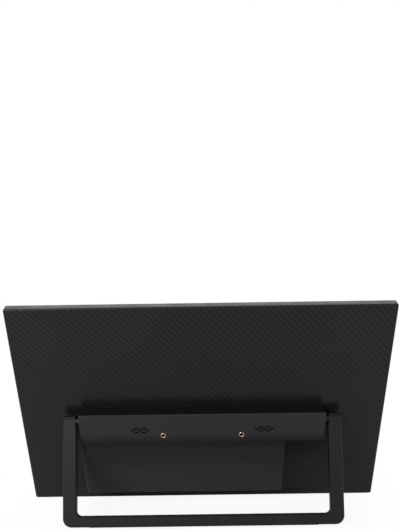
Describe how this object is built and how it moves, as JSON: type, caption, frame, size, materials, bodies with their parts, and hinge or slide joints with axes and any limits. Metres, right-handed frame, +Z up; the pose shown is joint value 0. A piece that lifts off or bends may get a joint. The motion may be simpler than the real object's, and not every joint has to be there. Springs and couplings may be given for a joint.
{
  "type": "portable monitor",
  "caption": "Slim portable monitor with a woven-pattern back, a raised electronics housing with a plug bay, and a hinged U-shaped stand that folds flat.",
  "frame": {"origin": "middle of the bounding box, on the table under the monitor", "axes": "+Z up, the screen faces -Y and leans back, +X to the right seen from the screen side"},
  "size_m": [0.352, 0.0798, 0.2113],
  "materials": {
    "cover_plastic": "satin, woven pattern moulded in",
    "bezel_plastic": "satin",
    "stand_metal": "satin dark anodised",
    "screen_glass": "glossy, lit from behind",
    "clear_plastic": "clear",
    "white_plastic": "white",
    "tray_metal": "bare sheet",
    "circuit_board": "solder mask",
    "tape": "foam",
    "flex": "polyimide",
    "ribbon": "flat cable",
    "steel": "plain",
    "blackened_steel": "blackened",
    "chip": "moulded",
    "socket_steel": "plated",
    "jack_plastic": "moulded",
    "speaker_plastic": "moulded",
    "cone_paper": "pressed",
    "cloth": "fine mesh",
    "wire": "insulated",
    "brass": "turned",
    "key_plastic": "satin",
    "rubber": "matt",
    "plug_plastic": "satin"
  },
  "bodies": {
    "display": {"front_bezel": "bezel_plastic", "bezel_tape": "tape", "lcd_glass": "screen_glass", "optical_films": "white_plastic", "light_guide_plate": "clear_plastic", "reflector_sheet": "white_plastic", "led_strip": "white_plastic", "panel_tray": "tray_metal", "panel_driver_board": "circuit_board", "driver_board_pad": "tape", "panel_flexes": "flex", "panel_ribbon": "ribbon", "rear_cover": "cover_plastic", "main_board": "circuit_board", "board_screws": "steel", "shield_can": "socket_steel", "scaler_chip": "chip", "power_coils": "chip", "usb_c_sockets": "socket_steel", "mini_hdmi_socket": "socket_steel", "audio_jack": "jack_plastic", "left_speaker": "speaker_plastic", "right_speaker": "speaker_plastic", "speaker_cones": "cone_paper", "speaker_cloths": "cloth", "speaker_leads": "wire", "threaded_inserts": "brass", "key_board": "circuit_board", "key_switches": "chip", "key_board_screws": "steel", "key_ribbon": "ribbon", "hinge_bracket_right": "steel", "hinge_bracket_left": "steel", "bracket_screws": "steel", "right_foot": "rubber", "left_foot": "rubber"},
    "stand": {"stand_frame": "stand_metal", "stand_pad": "rubber", "hinge_shaft_right": "blackened_steel", "hinge_shaft_left": "blackened_steel", "friction_washers": "steel", "disc_springs": "steel", "hinge_nuts": "steel", "hinge_screws": "steel", "hinge_plugs": "plug_plastic"},
    "power_key": {"power_key": "key_plastic"},
    "menu_key": {"menu_key": "key_plastic"},
    "up_key": {"up_key": "key_plastic"},
    "down_key": {"down_key": "key_plastic"}
  },
  "joints": [
    {"name": "stand_hinge", "type": "hinge", "parent": "display", "child": "stand", "pos_m": [0, 0.0062, 0.09636], "axis": [1, 0, 0], "range_deg": [-34, 56]},
    {"name": "power_key_press", "type": "slide", "parent": "display", "child": "power_key", "axis": [-1, 0, 0], "range_m": [0, 0.0006], "stiffness_N_per_m": 1500},
    {"name": "menu_key_press", "type": "slide", "parent": "display", "child": "menu_key", "axis": [-1, 0, 0], "range_m": [0, 0.0006], "stiffness_N_per_m": 1500},
    {"name": "up_key_press", "type": "slide", "parent": "display", "child": "up_key", "axis": [-1, 0, 0], "range_m": [0, 0.0006], "stiffness_N_per_m": 1500},
    {"name": "down_key_press", "type": "slide", "parent": "display", "child": "down_key", "axis": [-1, 0, 0], "range_m": [0, 0.0006], "stiffness_N_per_m": 1500}
  ]
}
